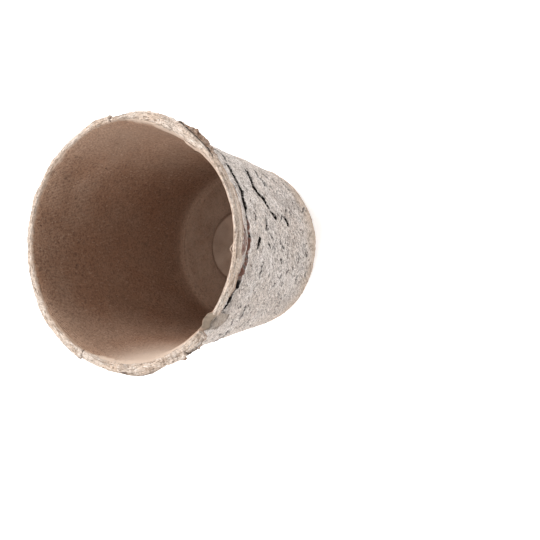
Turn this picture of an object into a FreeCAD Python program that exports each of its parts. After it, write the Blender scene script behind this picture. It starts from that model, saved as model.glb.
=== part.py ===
import FreeCAD, Part
import math
import os

import Sketcher

# Moulded peat pot, a tapered round seedling pot of pressed fibre, standing on its base.
# Millimetres. Z runs up the pot's axis, and the origin is the middle of the base on the floor.
# -Y is the front, where a length of the lip is torn off and the lip beside it gapes.
# The pot is one felted moulding. Its pieces are the plies and the torn lengths of lip that part from it.

os.makedirs("parts", exist_ok=True)
doc = FreeCAD.newDocument("peat_pot")

# Driving dimensions, with the thickness of each ply measured level
DRIVING_SIZES = [
    ("pot_height", 73.0, "floor to the crown of the lip"),
    ("wall_top_diameter", 76.0, "outside of the wall, carried up to the crown"),
    ("base_diameter", 55.5, "outside of the wall, carried down to the floor"),
    ("outer_ply_thickness", 0.9, "rough outer felt of the wall"),
    ("inner_ply_thickness", 0.6, "smooth inner felt of the wall"),
    ("floor_ply_thickness", 1.0, "smooth inner felt of the floor"),
    ("foot_step", 0.4, "how far the base felt stands below the foot of the wall"),
    ("foot_corner_radius", 3.2, "outside corner from the wall to the base"),
    ("floor_corner_radius", 2.4, "inside corner from the wall to the floor"),
    ("foot_flat_width", 0.3, "flat strip under the foot, from its corner to the base felt's torn border"),
    ("base_felt_edge_radius", 0.3, "lower edge of that border"),
    ("recess_mouth_diameter", 28.0, "pressed hollow under the base, at the floor"),
    ("recess_floor_diameter", 21.5, "flat middle of that hollow"),
    ("recess_depth", 2.6, "hollow under the base, and height of the disc it raises inside"),
    ("recess_edge_radius", 1.2, "soft edges of the hollow and of the raised disc"),
    ("mouth_round_height", 2.6, "height of the rounded mouth edge, over the outer felt"),
    ("lip_thickness", 1.15, "felt of the turned lip"),
    ("lip_shoulder", 0.8, "rounding of the lip's outer top edge"),
    ("lip_hang", 4.2, "usual drop from the crown to the lip's torn edge"),
    ("lip_stand", 0.9, "usual width of the gap where the lip gapes"),
    ("lip_clearance", 0.08, "least gap where the lip is pressed on the wall"),
    ("tear_width", 0.25, "open width of a tear across the lip"),
    ("bare_drop", 1.8, "how much lower the outer felt is torn at the missing length"),
    ("shred_length", 2.4, "longest shred under the lip"),
    ("left_tear_angle", 153.6, "azimuth of the tear where the left lip starts"),
    ("left_arc_angle", 71.4, "degrees of the left lip, pressed on and tattered"),
    ("bare_arc_angle", 10.2, "degrees of the missing length"),
    ("front_arc_angle", 73.3, "degrees of the front lip, gaping"),
    ("front_flap_arc_angle", 24.5, "degrees of the loose flap beside the front lip"),
    ("right_arc_angle", 37.0, "degrees of the thin right lip"),
    ("right_flap_arc_angle", 22.0, "degrees of the flap with a straight torn end"),
    ("pressed_arc_angle", 38.0, "degrees of the back lip, pressed on all along"),
]

# Sizes worked out from the driving ones
DERIVED_SIZES = [
    ("taper", "=(wall_top_diameter - base_diameter) / (2 * pot_height)", "slope of the wall"),
    ("ply_level", "=foot_step + outer_ply_thickness", "where the inner felt rests on the outer"),
    ("floor_level", "=ply_level + floor_ply_thickness", "top of the floor felt"),
    ("seat_level", "=pot_height - mouth_round_height", "top of the outer felt"),
    ("felt_radius", "=base_diameter / 2 - foot_corner_radius - foot_flat_width", "base felt's border"),
    ("mouth_radius", "=recess_mouth_diameter / 2", "hollow at the floor"),
    ("disc_radius", "=recess_floor_diameter / 2", "flat middle of the hollow"),
    ("disc_level", "=recess_depth + ply_level", "base felt's top over the hollow"),
    ("disc_top_level", "=recess_depth + floor_level", "top of the raised disc inside"),
    ("bend_level", "=floor_level + floor_corner_radius", "where the wall's inside corner ends"),
    ("foot_outside", "=base_diameter / 2 + taper * foot_step", "wall's outside at its foot"),
    ("seat_outside", "=base_diameter / 2 + taper * seat_level", "wall's outside at the seat"),
    ("seat_between", "=seat_outside - outer_ply_thickness", "where the plies meet at the seat"),
    ("seat_inside", "=seat_between - inner_ply_thickness", "wall's inside at the seat"),
    ("floor_between", "=base_diameter / 2 + taper * floor_level - outer_ply_thickness", "at the floor"),
    ("floor_inside", "=floor_between - inner_ply_thickness", "wall's inside at the floor"),
    ("floor_edge", "=floor_between - floor_ply_thickness", "floor felt's lower edge"),
    ("bend_inside", "=floor_inside + taper * floor_corner_radius", "wall's inside over the corner"),
    ("mouth_round_width", "=outer_ply_thickness + inner_ply_thickness", "rounded mouth edge"),
    ("bare_start_angle", "=left_tear_angle + left_arc_angle", "azimuth of the missing length"),
    ("bare_level", "=seat_level - bare_drop", "torn top of the outer felt there"),
    ("sector_radius", "=seat_outside + outer_ply_thickness", "reach of the cuts there, past the wall"),
    ("sector_height", "=pot_height - bare_level", "height of the cuts there, up to the crown"),
]

sheet = doc.addObject("Spreadsheet::Sheet", "Sizes")
for row, (alias, content, note) in enumerate(DRIVING_SIZES + DERIVED_SIZES, start=1):
    sheet.set("A%d" % row, alias)
    sheet.set("B%d" % row, str(content))
    sheet.setAlias("B%d" % row, alias)
    sheet.set("C%d" % row, note)
doc.recompute()

# How near two places have to be to count as the same
SAME_PLACE = 1e-4

# Corners along a rounded quarter, between its two ends
QUARTER_STEPS = [math.radians(angle) for angle in (22.5, 45, 67.5)]


def size(alias):
    return float(sheet.get(alias))


def number(expression):
    return float(sheet.evalExpression(expression))


def origin_plane(body, role):
    return next(feature for feature in body.Origin.OriginFeatures if feature.Role == role)


def spun_ply(name, outline):
    """A ply of revolution from its outline of (radius, level) expressions, joined by straight lines."""
    body = doc.addObject("PartDesign::Body", name)
    sketch = body.newObject("Sketcher::SketchObject", name + "_outline")
    sketch.AttachmentSupport = (origin_plane(body, "XZ_Plane"), [""])
    sketch.MapMode = "FlatFace"
    corners = [FreeCAD.Vector(number(radius), number(level), 0) for radius, level in outline]
    count = len(corners)
    for index, corner in enumerate(corners):
        sketch.addGeometry(Part.LineSegment(corner, corners[(index + 1) % count]), False)
    for index in range(count):
        sketch.addConstraint(Sketcher.Constraint("Coincident", index, 2, (index + 1) % count, 1))
    for index, (radius, level) in enumerate(outline):
        across = Sketcher.Constraint("DistanceX", -1, 1, index, 1, corners[index].x)
        sketch.setExpression("Constraints[%d]" % sketch.addConstraint(across), radius)
        upward = Sketcher.Constraint("DistanceY", -1, 1, index, 1, corners[index].y)
        sketch.setExpression("Constraints[%d]" % sketch.addConstraint(upward), level)
    spin = body.newObject("PartDesign::Revolution", name + "_spin")
    spin.Profile = sketch
    spin.ReferenceAxis = (sketch, ["V_Axis"])
    spin.Angle = 360
    doc.recompute()
    return body


def soften(body, radius_alias, places):
    """Round the level circles of a ply that pass through the given (radius, level) expressions."""
    base = body.Tip
    edge_names = []
    for radius, level in places:
        for place, edge in enumerate(base.Shape.Edges, start=1):
            box = edge.BoundBox
            is_level = box.ZLength < SAME_PLACE and abs(box.ZMin - number(level)) < SAME_PLACE
            if is_level and abs(box.XMax - number(radius)) < SAME_PLACE:
                edge_names.append("Edge%d" % place)
    fillet = body.newObject("PartDesign::Fillet", "%s_%s" % (body.Name, radius_alias))
    fillet.Base = (base, edge_names)
    fillet.setExpression("Radius", "Sizes." + radius_alias)
    doc.recompute()


def torn_at_bare_length(body, label, level_alias):
    """The ply, torn off down to a level where the lip is missing."""
    sector = doc.addObject("Part::Cylinder", label + "_sector")
    sector.setExpression("Radius", "Sizes.sector_radius")
    sector.setExpression("Height", "Sizes.sector_height")
    sector.setExpression("Angle", "Sizes.bare_arc_angle")
    turned = FreeCAD.Rotation(FreeCAD.Vector(0, 0, 1), size("bare_start_angle"))
    sector.Placement = FreeCAD.Placement(FreeCAD.Vector(0, 0, size(level_alias)), turned)
    sector.setExpression("Placement.Base.z", "Sizes." + level_alias)
    torn = doc.addObject("Part::Cut", label + "_torn")
    torn.Base = body
    torn.Tool = sector
    torn.Label = label
    doc.recompute()
    return torn


# Base felt, coarse, with the pressed hollow in its middle
def make_base_ply():
    body = spun_ply("base_ply_body", [
        ("0", "Sizes.recess_depth"),
        ("Sizes.disc_radius", "Sizes.recess_depth"),
        ("Sizes.mouth_radius", "0"),
        ("Sizes.felt_radius", "0"),
        ("Sizes.felt_radius", "Sizes.ply_level"),
        ("Sizes.mouth_radius", "Sizes.ply_level"),
        ("Sizes.disc_radius", "Sizes.disc_level"),
        ("0", "Sizes.disc_level"),
    ])
    soften(body, "recess_edge_radius", [
        ("Sizes.disc_radius", "Sizes.recess_depth"),
        ("Sizes.mouth_radius", "0"),
    ])
    soften(body, "base_felt_edge_radius", [("Sizes.felt_radius", "0")])
    body.Label = "base_ply"
    return body


# Outer felt of the wall, turned in under the foot up to the base felt's border
def make_outer_wall_ply():
    body = spun_ply("outer_wall_body", [
        ("Sizes.felt_radius", "Sizes.foot_step"),
        ("Sizes.foot_outside", "Sizes.foot_step"),
        ("Sizes.seat_outside", "Sizes.seat_level"),
        ("Sizes.seat_between", "Sizes.seat_level"),
        ("Sizes.floor_between", "Sizes.floor_level"),
        ("Sizes.floor_edge", "Sizes.ply_level"),
        ("Sizes.felt_radius", "Sizes.ply_level"),
    ])
    soften(body, "foot_corner_radius", [("Sizes.foot_outside", "Sizes.foot_step")])
    return torn_at_bare_length(body, "outer_wall_ply", "bare_level")


# Smooth felt of the floor, over the base felt and the turned foot of the wall
def make_floor_ply():
    body = spun_ply("floor_ply_body", [
        ("0", "Sizes.disc_level"),
        ("Sizes.disc_radius", "Sizes.disc_level"),
        ("Sizes.mouth_radius", "Sizes.ply_level"),
        ("Sizes.floor_edge", "Sizes.ply_level"),
        ("Sizes.floor_between", "Sizes.floor_level"),
        ("Sizes.mouth_radius", "Sizes.floor_level"),
        ("Sizes.disc_radius", "Sizes.disc_top_level"),
        ("0", "Sizes.disc_top_level"),
    ])
    soften(body, "recess_edge_radius", [
        ("Sizes.disc_radius", "Sizes.disc_top_level"),
        ("Sizes.mouth_radius", "Sizes.floor_level"),
    ])
    body.Label = "floor_ply"
    return body


# Smooth inner felt of the wall, from a hollow corner at the floor to the rounded edge of the mouth
def make_inner_wall_ply():
    floor_corner = []
    for angle in QUARTER_STEPS:
        inward = 1 - math.sin(angle)
        rise = 1 - math.cos(angle)
        floor_corner.append((
            "Sizes.floor_inside + Sizes.floor_corner_radius * (%.4f * Sizes.taper - %.4f)" % (rise, inward),
            "Sizes.floor_level + Sizes.floor_corner_radius * %.4f" % rise,
        ))
    mouth_edge = []
    for angle in QUARTER_STEPS:
        mouth_edge.append((
            "Sizes.seat_inside + Sizes.mouth_round_width * %.4f" % (1 - math.cos(angle)),
            "Sizes.seat_level + Sizes.mouth_round_height * %.4f" % math.sin(angle),
        ))
    body = spun_ply("inner_wall_body", [
        ("Sizes.floor_inside - Sizes.floor_corner_radius", "Sizes.floor_level"),
        ("Sizes.floor_between", "Sizes.floor_level"),
        ("Sizes.seat_between", "Sizes.seat_level"),
        ("Sizes.seat_outside", "Sizes.seat_level"),
        ("Sizes.seat_outside", "Sizes.pot_height"),
    ] + mouth_edge[::-1] + [
        ("Sizes.seat_inside", "Sizes.seat_level"),
        ("Sizes.bend_inside", "Sizes.bend_level"),
    ] + floor_corner[::-1])
    return torn_at_bare_length(body, "inner_wall_ply", "seat_level")


# Lip lengths
# Each length lists the drop of its torn edge and its stand-off from the wall, at even steps along it,
# as shares of lip_hang and of lip_stand.
LEFT_HANG_SHARES = [0.70, 0.75, 0.70, 0.80, 0.85, 0.95, 1.00, 0.90, 0.85, 0.80, 0.95, 0.80, 0.75, 0.70]
LEFT_STAND_SHARES = [0.35, 0.40, 0.50, 0.70, 1.00, 1.30, 1.40, 1.20, 0.70, 0.50, 0.50, 0.35, 0.20, 0.15]
FRONT_HANG_SHARES = [0.60, 0.65, 0.75, 0.85, 0.95, 1.00, 0.95, 1.00, 1.05, 1.00, 0.95, 0.90, 0.80, 0.85]
FRONT_STAND_SHARES = [0.20, 0.30, 0.70, 1.00, 1.10, 1.00, 1.15, 1.20, 1.20, 1.25, 1.30, 1.10, 0.80, 0.50]
FRONT_FLAP_HANG_SHARES = [1.00, 1.25, 1.35, 1.20, 1.00, 0.75]
FRONT_FLAP_STAND_SHARES = [0.70, 1.20, 1.70, 1.80, 1.20, 0.45]
RIGHT_HANG_SHARES = [0.60, 0.65, 0.60, 0.70, 0.75, 0.70, 0.65, 0.60]
RIGHT_STAND_SHARES = [0.30, 0.25, 0.35, 0.60, 0.70, 0.50, 0.30, 0.20]
RIGHT_FLAP_HANG_SHARES = [1.15, 1.20, 1.10, 1.00, 0.80]
RIGHT_FLAP_STAND_SHARES = [1.90, 1.50, 1.00, 0.60, 0.25]
PRESSED_HANG_SHARES = [0.75, 0.70, 0.65, 0.75, 0.70, 0.80, 0.75, 0.80]
PRESSED_STAND_SHARES = [0.20, 0.15, 0.20, 0.30, 0.20, 0.15, 0.25, 0.40]
BACK_HANG_SHARES = [
    0.80, 0.90, 0.70, 1.00, 1.10, 0.95, 1.10, 0.80, 1.05, 1.15, 1.00, 1.20, 0.85, 1.00, 1.10, 0.90,
]
BACK_STAND_SHARES = [
    0.50, 0.80, 1.10, 1.30, 1.40, 1.50, 1.50, 1.30, 1.20, 1.50, 1.60, 1.50, 1.20, 1.40, 1.30, 0.80,
]


def wall_outside(level):
    return size("base_diameter") / 2 + size("taper") * level


def spatial(azimuth, radius, level):
    angle = math.radians(azimuth)
    return FreeCAD.Vector(radius * math.cos(angle), radius * math.sin(angle), level)


def lip_section(azimuth, hang_share, stand_share):
    """Named corners of the lip cut across at an azimuth, from its neck on the mouth edge round to its gap."""
    crown = size("pot_height")
    seat = size("seat_level")
    clearance = size("lip_clearance")
    thickness = size("lip_thickness")
    shoulder = size("lip_shoulder")
    gap = clearance + stand_share * size("lip_stand")
    edge_level = crown - hang_share * size("lip_hang")
    # The gap ends higher where the lip gapes
    gape_share = min(stand_share, 1)
    gap_top = seat + gape_share * (size("mouth_round_height") - thickness)
    neck = size("seat_outside") + clearance
    gap_outer = wall_outside(gap_top) + gap
    skirt_outer = gap_outer + thickness
    edge_inner = wall_outside(edge_level) + gap
    profile = {
        "neck_foot": (neck, gap_top),
        "neck_top": (neck, crown),
        "shoulder_top": (skirt_outer - shoulder, crown),
        "shoulder_side": (skirt_outer, crown - shoulder),
        "edge_outer": (edge_inner + thickness, edge_level),
        "edge_inner": (edge_inner, edge_level),
        "gap_outer": (gap_outer, gap_top),
    }
    return {name: spatial(azimuth, radius, level) for name, (radius, level) in profile.items()}


def lip_sections(start, span, hang_shares, stand_shares):
    """Sections at even steps along a length, half a tear in from each end."""
    tear = math.degrees(size("tear_width") / size("seat_outside"))
    steps = len(hang_shares) - 1
    sections = []
    for step in range(steps + 1):
        azimuth = start + tear / 2 + (span - tear) * step / steps
        sections.append(lip_section(azimuth, hang_shares[step], stand_shares[step]))
    return sections


def ruled_solid(sections):
    wires = [Part.makePolygon(corners + corners[:1]) for corners in sections]
    return Part.makeLoft(wires, True, True)


def felt_piece(label, shape):
    feature = doc.addObject("Part::Feature", label)
    feature.Shape = shape
    feature.Label = label
    feature.Placement = FreeCAD.Placement()
    return feature


def along(first, second, share):
    return first + (second - first) * share


# Brown torn core that bridges the gap under the front lip
CORE_FIRST_STEP, CORE_LAST_STEP = 4, 9
CORE_TOP_SHARES = [0.15, 0.10, 0.20, 0.10, 0.15, 0.20]
CORE_FOOT_SHARES = [0.70, 1.00, 0.85, 1.10, 0.95, 0.60]
CORE_FILL_SHARES = [0.45, 0.80, 0.70, 0.90, 0.80, 0.50]


def make_torn_core(front_sections):
    """Fills a share of the gap, from the wall outward, between two levels of the hanging lip."""
    clearance = size("lip_clearance")
    sections = []
    for place, step in enumerate(range(CORE_FIRST_STEP, CORE_LAST_STEP + 1)):
        gap_corner = front_sections[step]["gap_outer"]
        edge_corner = front_sections[step]["edge_inner"]
        azimuth = math.degrees(math.atan2(gap_corner.y, gap_corner.x))
        corners = []
        for level_share in (CORE_TOP_SHARES[place], CORE_FOOT_SHARES[place]):
            lip_side = along(gap_corner, edge_corner, level_share)
            wall_radius = wall_outside(lip_side.z) + clearance
            lip_radius = math.hypot(lip_side.x, lip_side.y) - clearance
            fill = wall_radius + (lip_radius - wall_radius) * CORE_FILL_SHARES[place]
            corners.append((wall_radius, fill, lip_side.z))
        (top_wall, top_lip, top_level), (foot_wall, foot_lip, foot_level) = corners
        sections.append([
            spatial(azimuth, top_wall, top_level),
            spatial(azimuth, top_lip, top_level),
            spatial(azimuth, foot_lip, foot_level),
            spatial(azimuth, foot_wall, foot_level),
        ])
    return felt_piece("torn_core", ruled_solid(sections))


# Shreds left hanging from the torn edge of the left lip, as (step along the lip, width, length, splay) shares
SHRED_SHARES = [
    (8.30, 0.50, 0.60, 0.30),
    (9.40, 0.70, 1.00, 0.55),
    (10.35, 0.35, 0.45, 0.20),
    (11.20, 0.50, 0.75, 0.45),
]


# How much of its root's width a shred keeps at its tip
SHRED_TIP_SHARE = 0.35


def tapered_shred(root, tip):
    """A solid of flat triangles between two rings of four corners, which need not be flat themselves."""
    triangles = [(root[0], root[1], root[2]), (root[0], root[2], root[3])]
    triangles += [(tip[2], tip[1], tip[0]), (tip[3], tip[2], tip[0])]
    for place in range(4):
        following = (place + 1) % 4
        triangles.append((root[place], tip[place], root[following]))
        triangles.append((root[following], tip[place], tip[following]))
    faces = [Part.Face(Part.makePolygon(list(corners) + [corners[0]])) for corners in triangles]
    return Part.makeSolid(Part.makeShell(faces))


def make_lip_shreds(left_sections):
    """Each shred starts on the lip's torn edge and narrows downward and outward."""
    shreds = []
    for step_share, width_share, length_share, splay_share in SHRED_SHARES:
        step = int(step_share)
        first = step_share - step
        last = min(first + width_share, 1)
        sides = [(first, "edge_inner"), (first, "edge_outer"), (last, "edge_outer"), (last, "edge_inner")]
        root = [
            along(left_sections[step][corner], left_sections[step + 1][corner], share)
            for share, corner in sides
        ]
        middle = sum(root, FreeCAD.Vector()) / len(root)
        outward = FreeCAD.Vector(middle.x, middle.y, 0).normalize()
        drop = size("shred_length") * length_share
        tip_shift = outward * (drop * splay_share) - FreeCAD.Vector(0, 0, drop)
        tip = [along(corner, middle, 1 - SHRED_TIP_SHARE) + tip_shift for corner in root]
        shreds.append(tapered_shred(root, tip))
    return felt_piece("lip_shreds", Part.makeCompound(shreds))


def make_lip():
    """The lip, length by length round the mouth."""
    start = size("left_tear_angle")
    spans = {
        "left": size("left_arc_angle"),
        "bare": size("bare_arc_angle"),
        "front": size("front_arc_angle"),
        "front_flap": size("front_flap_arc_angle"),
        "right": size("right_arc_angle"),
        "right_flap": size("right_flap_arc_angle"),
        "pressed": size("pressed_arc_angle"),
    }
    spans["back"] = 360 - sum(spans.values())
    shares = {
        "left": ("lip_left_pressed", LEFT_HANG_SHARES, LEFT_STAND_SHARES),
        "front": ("lip_front_gaping", FRONT_HANG_SHARES, FRONT_STAND_SHARES),
        "front_flap": ("lip_front_flap", FRONT_FLAP_HANG_SHARES, FRONT_FLAP_STAND_SHARES),
        "right": ("lip_right_thin", RIGHT_HANG_SHARES, RIGHT_STAND_SHARES),
        "right_flap": ("lip_right_flap", RIGHT_FLAP_HANG_SHARES, RIGHT_FLAP_STAND_SHARES),
        "pressed": ("lip_back_pressed", PRESSED_HANG_SHARES, PRESSED_STAND_SHARES),
        "back": ("lip_back_gaping", BACK_HANG_SHARES, BACK_STAND_SHARES),
    }
    pieces = []
    sections = {}
    for length, span in spans.items():
        if length in shares:
            label, hang_shares, stand_shares = shares[length]
            sections[length] = lip_sections(start, span, hang_shares, stand_shares)
            outlines = [list(section.values()) for section in sections[length]]
            pieces.append(felt_piece(label, ruled_solid(outlines)))
        start += span
    pieces.append(make_torn_core(sections["front"]))
    pieces.append(make_lip_shreds(sections["left"]))
    return pieces


pieces = [make_base_ply(), make_outer_wall_ply(), make_floor_ply(), make_inner_wall_ply()] + make_lip()
doc.recompute()

for thing in doc.Objects:
    if "Invalid" in thing.State or "Error" in thing.State:
        raise RuntimeError("%s did not compute: %s" % (thing.Label, thing.State))
for piece in pieces:
    if piece.Shape.isNull() or not piece.Shape.isValid():
        raise RuntimeError("%s has no valid shape" % piece.Label)

for piece in pieces:
    piece.Shape.exportStep("parts/%s.step" % piece.Label)
    box = piece.Shape.BoundBox
    print("%-18s %2d solid(s) %9.1f mm3  z %6.2f to %6.2f" % (
        piece.Label, len(piece.Shape.Solids), piece.Shape.Volume, box.ZMin, box.ZMax))
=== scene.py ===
import math

import bpy
import numpy as np
from mathutils import Matrix, Vector


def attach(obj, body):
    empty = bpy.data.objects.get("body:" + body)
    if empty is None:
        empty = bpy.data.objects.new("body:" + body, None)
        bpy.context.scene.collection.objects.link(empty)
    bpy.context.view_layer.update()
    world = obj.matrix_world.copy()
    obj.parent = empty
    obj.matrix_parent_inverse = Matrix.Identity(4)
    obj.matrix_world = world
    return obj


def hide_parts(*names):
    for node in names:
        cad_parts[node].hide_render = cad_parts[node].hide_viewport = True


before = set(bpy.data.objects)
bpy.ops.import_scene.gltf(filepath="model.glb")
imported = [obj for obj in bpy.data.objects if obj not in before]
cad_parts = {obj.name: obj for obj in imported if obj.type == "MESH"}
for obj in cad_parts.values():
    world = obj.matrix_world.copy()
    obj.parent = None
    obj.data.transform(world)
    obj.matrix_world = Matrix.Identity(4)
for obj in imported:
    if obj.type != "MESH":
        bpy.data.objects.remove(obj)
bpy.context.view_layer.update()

# Moulded peat pot, a tapered seedling pot of pressed fibre.
# Sizes are in millimetres unless a name says otherwise, and azimuths in degrees from +X towards +Y.
mm = 0.001
fullTurn = 2 * math.pi

# The pot's own levels and radii, which every felt piece shares
pot = {
    "footRadius": 27.75,  # outside of the wall, carried down to the floor
    "slope": 0.1404,  # how much the wall opens for each millimetre up
    "crown": 73.0,
    "seat": 70.4,  # top of the outer felt
    "felt": 1.5,  # both felts of the wall together, measured level
    "wallMiddle": 33.0,  # radius that sizes round the wall are measured at
    "rimMiddle": 38.0,  # and sizes along the rim
    "bareStart": 225.0,  # the length with no lip
    "bareEnd": 235.2,
    "pressedArc": (227, 233.4),  # there the wall is pressed in a little
    "pressedLevels": (62, 70),
    "pressedDepth": 1.1,
    "notchArc": (318, 326),  # where the mouth's inner edge steps in a little
    "knobAzimuth": 266.6,  # a small knob on that edge, beside the gaping front lip
    "knobSpread": 1.6,
}

# Inside of the mouth as (radius, level), from the straight wall out to the crown of the lip
mouthCurve = [
    (35.52, 66.0), (35.80, 68.0), (36.15, 69.5), (36.60, 70.8),
    (37.10, 71.7), (37.60, 72.4), (38.10, 72.85), (38.60, 73.0),
]

# How far the rim leans out in drying, as (azimuth, at the mouth's edge, at the outside of the lip)
rimLeans = [
    (0, 0.4, 0.9), (8, 0.4, 1.1), (14, 0.4, 0.5), (22, 0.3, 0.5), (35, 0.1, 1.0),
    (60, 0.4, 1.6), (72, 0.5, 0.9), (82, 0.1, 0.2), (105, 0.1, 0.2), (115, 0.3, 1.1),
    (140, 0.2, 0.9), (158, 0.0, 1.6), (175, 0.0, 1.0), (188, 0.0, 1.3), (196, -0.1, 0.7),
    (207, -0.2, 1.1), (219, -0.2, 2.6), (228, -0.1, 2.6), (231, 0.0, 0.2), (252, 0.4, 0.2),
    (266, 0.8, 0.3), (280, 1.3, 0.4), (300, 1.4, 0.4), (311, 1.2, 0.9), (318, 0.2, 1.1),
    (328, 0.0, 1.4), (336, -0.3, 2.2), (344, -0.2, 2.0), (352, 0.3, 0.8), (360, 0.4, 0.9),
]

# How the whole pot dried a little out of round, and its rim a little out of level
drying = {
    "lipRadii": (37.9, 39.6),  # between the mouth's edge and the outside of the lip
    "leanLevels": (64, 72.4),
    "leanBlur": 5,  # degrees
    "outOfRound": 0.0035,
    "outOfLevel": 0.22,
    "unevenLevels": (55, 72),
}

# The camera stands where the photograph was taken from, over the pot's front and rolled to its right
view = {
    "place": (-10.4, -254.7, 421.6),
    "back": (-0.0045, -0.5039, 0.8637),
    "up": (1.0, 0.0, 0.0052),
    "lens": 92.69,
}


def added(name, data):
    item = bpy.data.objects.new(name, data)
    bpy.context.scene.collection.objects.link(item)
    return item


def addCamera():
    camera = added("camera", bpy.data.cameras.new("camera"))
    camera.data.lens = view["lens"]
    back = Vector(view["back"]).normalized()
    right = Vector(view["up"]).cross(back).normalized()
    turned = Matrix((right, back.cross(right), back)).transposed().to_4x4()
    camera.matrix_world = Matrix.Translation(Vector(view["place"]) * mm) @ turned
    bpy.context.scene.camera = camera


addCamera()
print("camera set")


# Smooth noise on a lattice, from a fixed seed
feltRandom = np.random.default_rng(41)
shuffled = feltRandom.permutation(256)
slopes = feltRandom.normal(size=(256, 3))
slopes /= np.linalg.norm(slopes, axis=1)[:, None]


def feltNoise(cells, seed, around=256):
    # About -1 to 1, one bump to a cell; the first axis repeats after a whole number of cells
    cell = np.floor(cells).astype(int)
    within = cells - cell
    fade = within ** 3 * (within * (within * 6 - 15) + 10)
    total = np.zeros(len(cells))
    for corner in np.ndindex(2, 2, 2):
        pick = np.full(len(cells), seed & 255)
        for axis in range(3):
            step = cell[:, axis] + corner[axis]
            pick = shuffled[(pick + (step % around if axis == 0 else step)) & 255]
        weight = np.prod(np.where(corner, fade, 1 - fade), axis=1)
        total += weight * ((within - corner) * slopes[pick]).sum(axis=1)
    return total * 1.6


def lumps(points, size, seed):
    return feltNoise(points / size + seed * 7.31, seed)


def azimuthOf(points):
    return np.degrees(np.arctan2(points[:, 1], points[:, 0])) % 360


def slanted(points, across, along, slant, seed, waviness=0.0):
    # Noise drawn out along helices round the wall, at 45 degrees, with no seam
    around = round(fullTurn * pot["wallMiddle"] / across)
    turns = azimuthOf(points) / 360
    rising = slant * points[:, 2] / across
    if waviness:
        rising = rising + waviness * lumps(points, 3.5 * across, seed + 60)
    cells = np.stack([turns * around + rising, points[:, 2] / along, 0 * turns + seed + 0.5], axis=1)
    return feltNoise(cells, seed, around)


def ringNoise(azimuths, size, seed):
    # Noise along the rim, with no seam
    around = max(3, round(fullTurn * pot["rimMiddle"] / size))
    turns = azimuths / 360
    cells = np.stack([turns * around, 0 * turns + seed + 0.5, 0 * turns + 0.5], axis=1)
    return feltNoise(cells, seed, around)


def layered(noise, places, layers):
    # Noise of several sizes on top of each other, each with its height, size and seed
    return sum(height * noise(places, size, seed) for height, size, seed in layers)


def ease(values, low, high):
    share = np.clip((values - low) / (high - low), 0, 1)
    return share * share * (3 - 2 * share)


def turnFrom(azimuths, middle):
    # Degrees from one azimuth, the short way round
    return (azimuths - middle + 180) % 360 - 180


def withinArc(azimuths, start, end, feather):
    # 1 between two azimuths, 0 outside them
    away, half = np.abs(turnFrom(azimuths, (start + end) / 2)), (end - start) / 2
    return 1 - ease(away, half - feather, half + feather)


def bareArc(points, feather=0.7):
    # 1 in the length with no lip, between two torn ends
    azimuths = azimuthOf(points) + lumps(points, 1.6, 79)
    return withinArc(azimuths, pot["bareStart"], pot["bareEnd"], feather)


def pressedIn(azimuths, levels):
    within = withinArc(azimuths, *pot["pressedArc"], 1.6)
    return pot["pressedDepth"] * within * ease(levels, *pot["pressedLevels"])


def notchArc(azimuths):
    return withinArc(azimuths, *pot["notchArc"], 0.6)


def knobArc(azimuths):
    return np.exp(-(turnFrom(azimuths, pot["knobAzimuth"]) / pot["knobSpread"]) ** 2)


def mouthTop(radii):
    # Level of the rounded mouth edge at a radius
    return np.interp(radii, *zip(*mouthCurve))


# Reading and writing a mesh in millimetres
def fetched(items, name, width=1, kind=np.int32):
    flat = np.empty(len(items) * width, kind)
    items.foreach_get(name, flat)
    return flat if width == 1 else flat.reshape(-1, width)


def read(piece):
    return fetched(piece.data.vertices, "co", 3, np.float32).astype(float) / mm


def outwardOf(piece):
    return fetched(piece.data.vertex_normals, "vector", 3, np.float32).astype(float)


def facingOut(outward, azimuths):
    # How squarely the surface faces away from the pot's axis, -1 where it faces the axis
    angles = np.radians(azimuths)
    return outward[:, 0] * np.cos(angles) + outward[:, 1] * np.sin(angles)


def write(piece, points):
    piece.data.vertices.foreach_set("co", (points * mm).astype(np.float32).ravel())
    piece.data.update()


def paint(piece, **layers):
    # Lays masks from 0 to 1 on the vertices, for the felt's painted tones
    for name, values in layers.items():
        layer = piece.data.attributes.new(name, "FLOAT", "POINT")
        layer.data.foreach_set("value", np.clip(values, 0, 1).astype(np.float32))


def polar(points):
    return azimuthOf(points), np.hypot(points[:, 0], points[:, 1]), points[:, 2].copy()


def cartesian(azimuths, radii, levels):
    angles = np.radians(azimuths)
    return np.stack([radii * np.cos(angles), radii * np.sin(angles), levels], axis=1)


def dried(points):
    azimuths, radii, levels = polar(points)
    places, atMouth, atLip = zip(*rimLeans)
    outer = ease(radii, *drying["lipRadii"])
    for turn in (-1, 0, 1):
        near = (azimuths + turn * drying["leanBlur"]) % 360
        lean = (1 - outer) * np.interp(near, places, atMouth) + outer * np.interp(near, places, atLip)
        radii = radii + lean / 3 * ease(levels, *drying["leanLevels"])
    high = np.clip(levels / pot["crown"], 0, 1)
    radii = radii * (1 + drying["outOfRound"] * high * ringNoise(azimuths, 60, 5))
    uneven = drying["outOfLevel"] * ease(levels, *drying["unevenLevels"])
    levels = levels + uneven * ringNoise(azimuths, 26, 9)
    return cartesian(azimuths, radii, levels)


# Small steps of hand modelling
def switch(mode):
    bpy.ops.object.mode_set(mode=mode)


def alone(piece):
    bpy.ops.object.select_all(action="DESELECT")
    piece.select_set(True)
    bpy.context.view_layer.objects.active = piece


def applied(piece, kind, **settings):
    alone(piece)
    modifier = piece.modifiers.new(kind, kind)
    for name, value in settings.items():
        setattr(modifier, name, value)
    bpy.ops.object.modifier_apply(modifier=modifier.name)


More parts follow.
